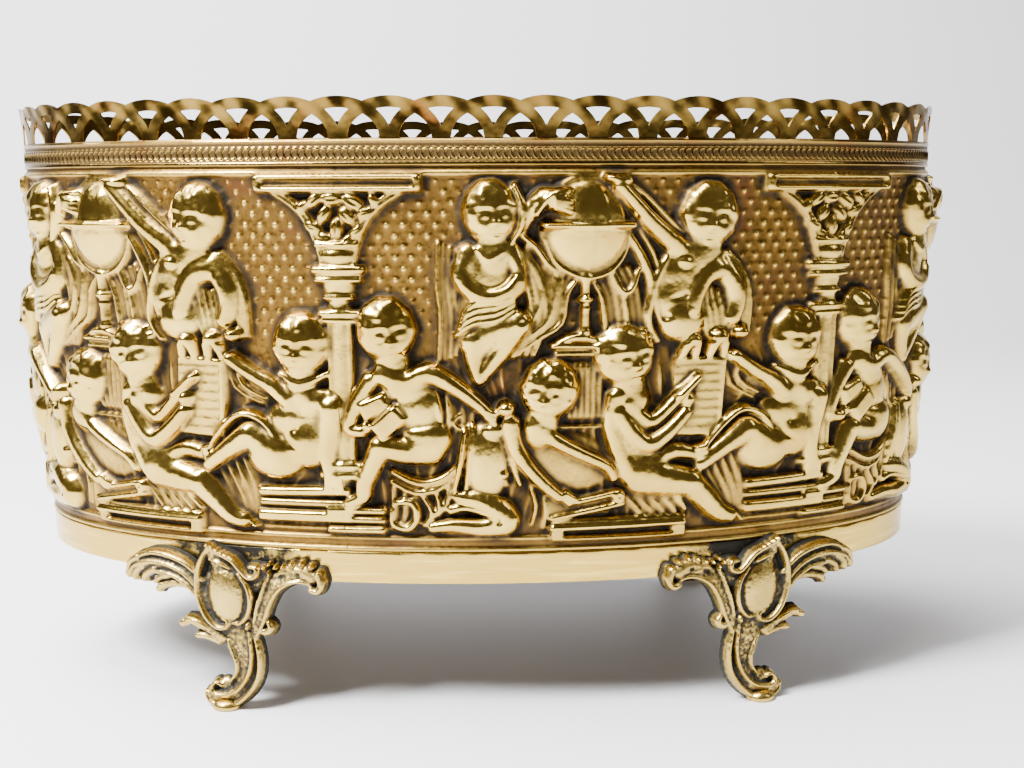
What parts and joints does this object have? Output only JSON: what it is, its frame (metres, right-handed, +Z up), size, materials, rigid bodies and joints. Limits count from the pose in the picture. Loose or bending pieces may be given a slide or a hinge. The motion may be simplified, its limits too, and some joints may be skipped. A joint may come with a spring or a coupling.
{
  "type": "oval planter pot",
  "caption": "Oval brass planter with a wall stamped in relief, a pierced scalloped gallery round the rim and cast scroll feet.",
  "frame": {"origin": "centre of the footprint, at floor level", "axes": "+X along the pot's length, the front of the wall faces -Y, +Z up"},
  "size_m": [0.3069, 0.1798, 0.181],
  "materials": {
    "stamped_brass": "polished high spots over a warm brown antique patina",
    "gallery_brass": "polished, lightly mottled",
    "band_brass": "polished, with fine scratches",
    "plate_brass": "dull, tarnished sheet",
    "cast_brass": "cast, satin, dark in its recesses",
    "solder": "dull grey soft solder"
  },
  "bodies": {
    "root": {"wall_panel_1": "stamped_brass", "wall_panel_2": "stamped_brass", "wall_panel_3": "stamped_brass", "wall_panel_4": "stamped_brass", "wall_panel_5": "stamped_brass", "gallery_strip": "gallery_brass", "base_band": "band_brass", "base_plate": "plate_brass", "foot_front_left": "cast_brass", "foot_front_right": "cast_brass", "foot_back_left": "cast_brass", "foot_back_right": "cast_brass", "foot_solder": "solder", "seam_solder": "solder", "base_solder": "solder"}
  },
  "joints": []
}
